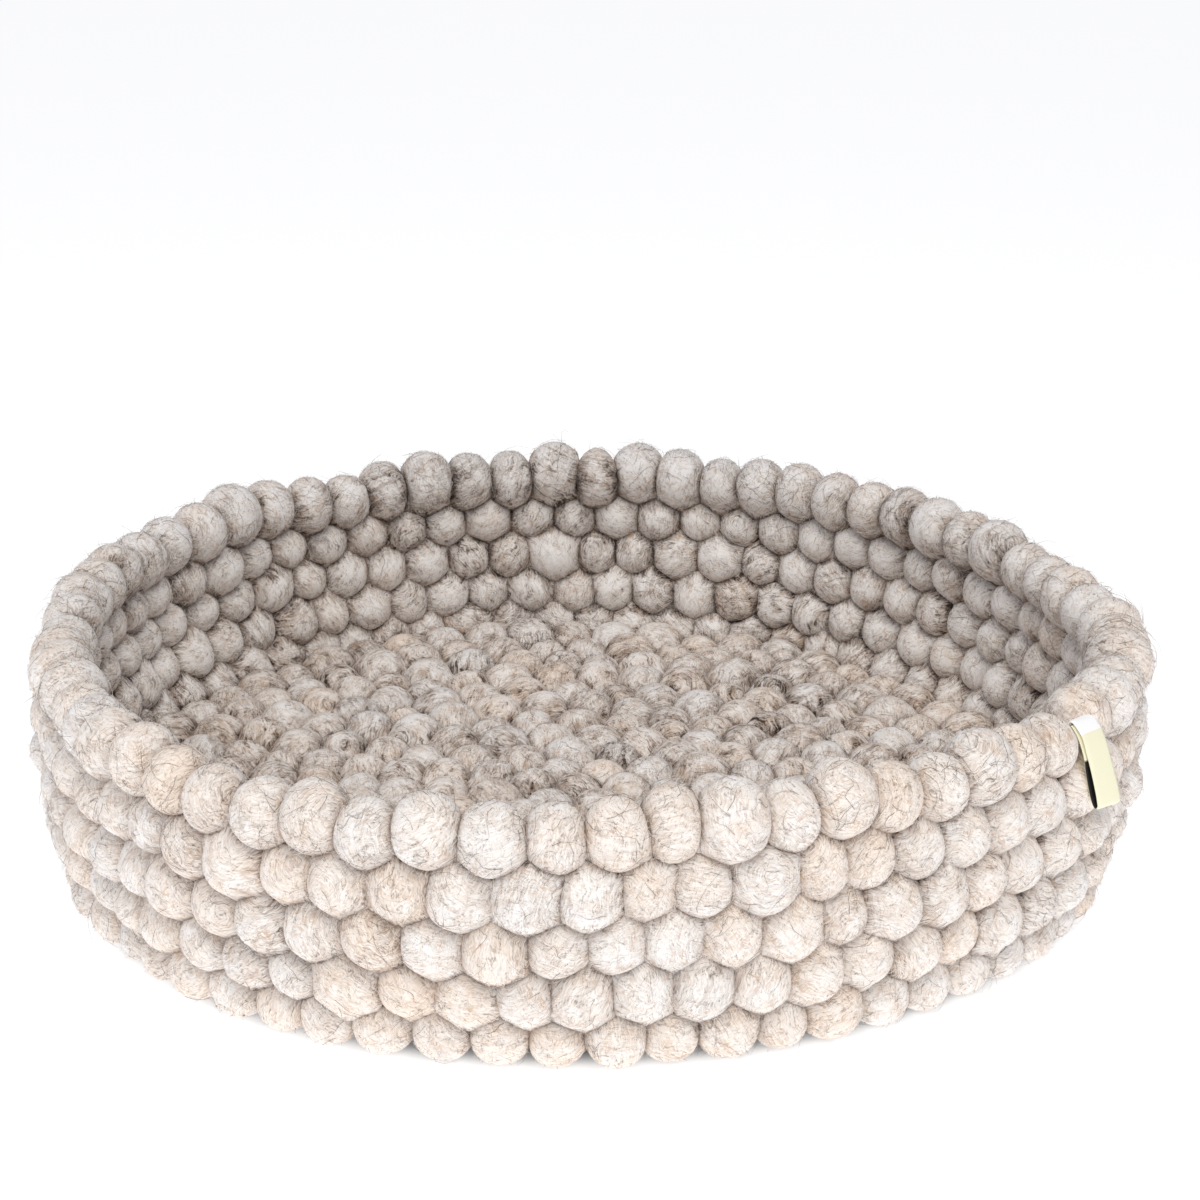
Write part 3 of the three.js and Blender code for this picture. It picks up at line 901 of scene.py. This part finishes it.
# White studio: the floor that the camera sees is lit paper with a glow, and a second, unseen floor throws
# softer light back on the basket. Neither glows underneath the basket, so the balls stand in their shade.
studio = {
    "floorRadius": 20000.0,
    "floorSteps": 192,
    "shade": [  # millimetres past the foot of the basket, and share of the glow there
        (-30, 0.0), (-8, 0.0), (-2, 0.3), (3, 0.72), (7, 0.93), (12, 1.0),
    ],
    "paper": "#A0A0A0",
    "paperGlow": 0.85,
    "bounce": "#E0E0E0",
    "bounceGlow": 0.86,
    "bounceGlowColour": "#FBFCFF",
    "bounceHeight": -0.5,
    "white": "#FFFFFF",
    "sky": 0.32,
    "skyColour": "#EAEFFF",
    "lights": [  # name, place, aim, size, watts, colour
        ("front_softbox", (0.15, -0.8, 1.25), (0, -0.05, 0.03), 1.0, 13.6, "#FFFBF5"),
        ("left_softbox", (-1.0, -0.35, 0.9), (-0.15, 0, 0.08), 0.9, 2.6, "#FDFDFF"),
    ],
    "camera": (5.57, -1030.28, 465.03),
    "lookDown": 19.555,
    "roll": 0.45,
    "lens": 79.79,
}


def buildFloor(name, height, colour, glow, glowColour):
    # a flat floor in rings that follow the foot of the basket; its glow sets in from ring to ring
    angle = np.arange(studio["floorSteps"]) * fullTurn / studio["floorSteps"]
    foot = rowRadius(footHeight)
    rings = [(foot + past, share) for past, share in studio["shade"]] + [(studio["floorRadius"], 1.0)]
    place = np.stack([unevenRing(np.full_like(angle, radius), angle, 0 * angle) for radius, _ in rings])
    place[..., 2] = height
    here = np.arange(place[..., 0].size).reshape(place.shape[:2])
    ahead = np.roll(here, -1, axis=1)
    quads = np.stack([here[:-1], here[1:], ahead[1:], ahead[:-1]], -1).reshape(-1, 4)
    shares = np.repeat([share * glow for _, share in rings], len(angle))
    made, tree = newMaterial(name + "_paper")
    made.cycles.emission_sampling = "NONE"  # it is large enough to be found by the light's own bounces
    finish = {
        "Base Color": linear(colour),
        "Roughness": 0.95,
        "Specular IOR Level": 0.0,
        "Emission Color": linear(glowColour),
        "Emission Strength": put(tree, attributeNode, out="Fac", attribute_name="glow"),
    }
    put(tree, outputNode, {"Surface": put(tree, skinNode, finish)}, out=None)
    ground = fillMesh(name, place.reshape(-1, 3) * mm, [here[:1], quads], {"glow": shares}, made)
    return ground


def buildStudio():
    # two floors, a sky that lights softly but looks white, square softboxes aimed at the basket, and the
    # photo's camera, tilted down and rolled a little
    shown = buildFloor("studio_floor", 0.0, studio["paper"], studio["paperGlow"], studio["white"])
    shown.visible_diffuse = shown.visible_glossy = shown.visible_shadow = False
    look = (studio["bounce"], studio["bounceGlow"], studio["bounceGlowColour"])
    thrown = buildFloor("studio_bounce", studio["bounceHeight"], *look)
    thrown.visible_camera = False

    scene = bpy.context.scene
    world = bpy.data.worlds.new("studio_sky")
    world.use_nodes = True
    tree = world.node_tree
    tree.nodes.clear()
    seen = put(tree, "ShaderNodeLightPath", out="Is Camera Ray")
    soft = {"Color": linear(studio["skyColour"]), "Strength": studio["sky"]}
    dim = put(tree, "ShaderNodeBackground", soft)
    white = put(tree, "ShaderNodeBackground", {"Color": linear(studio["white"]), "Strength": 1.0})
    sky = put(tree, "ShaderNodeMixShader", {0: seen, 1: dim, 2: white})
    put(tree, "ShaderNodeOutputWorld", {"Surface": sky}, out=None)
    scene.world = world

    for name, place, aim, size, power, colour in studio["lights"]:
        light = bpy.data.lights.new(name, "AREA")
        light.shape = "SQUARE"
        light.size = size
        light.energy = power
        light.color = linear(colour)[:3]
        lamp = bpy.data.objects.new(name, light)
        lamp.location = place
        lamp.rotation_euler = (Vector(aim) - Vector(place)).to_track_quat("-Z", "Y").to_euler()
        lamp.visible_camera = False
        bpy.context.collection.objects.link(lamp)

    lens = bpy.data.cameras.new("photo_camera")
    lens.sensor_width = 36
    lens.lens = studio["lens"]
    lens.clip_start, lens.clip_end = 0.01, 50
    viewer = bpy.data.objects.new("photo_camera", lens)
    tilt = Matrix.Rotation(math.radians(90 - studio["lookDown"]), 4, "X")
    roll = Matrix.Rotation(math.radians(studio["roll"]), 4, "Z")
    viewer.matrix_world = Matrix.Translation(Vector(studio["camera"]) * mm) @ tilt @ roll
    bpy.context.collection.objects.link(viewer)
    scene.camera = viewer
    scene.view_settings.view_transform = "Standard"


buildStudio()
print("studio built")
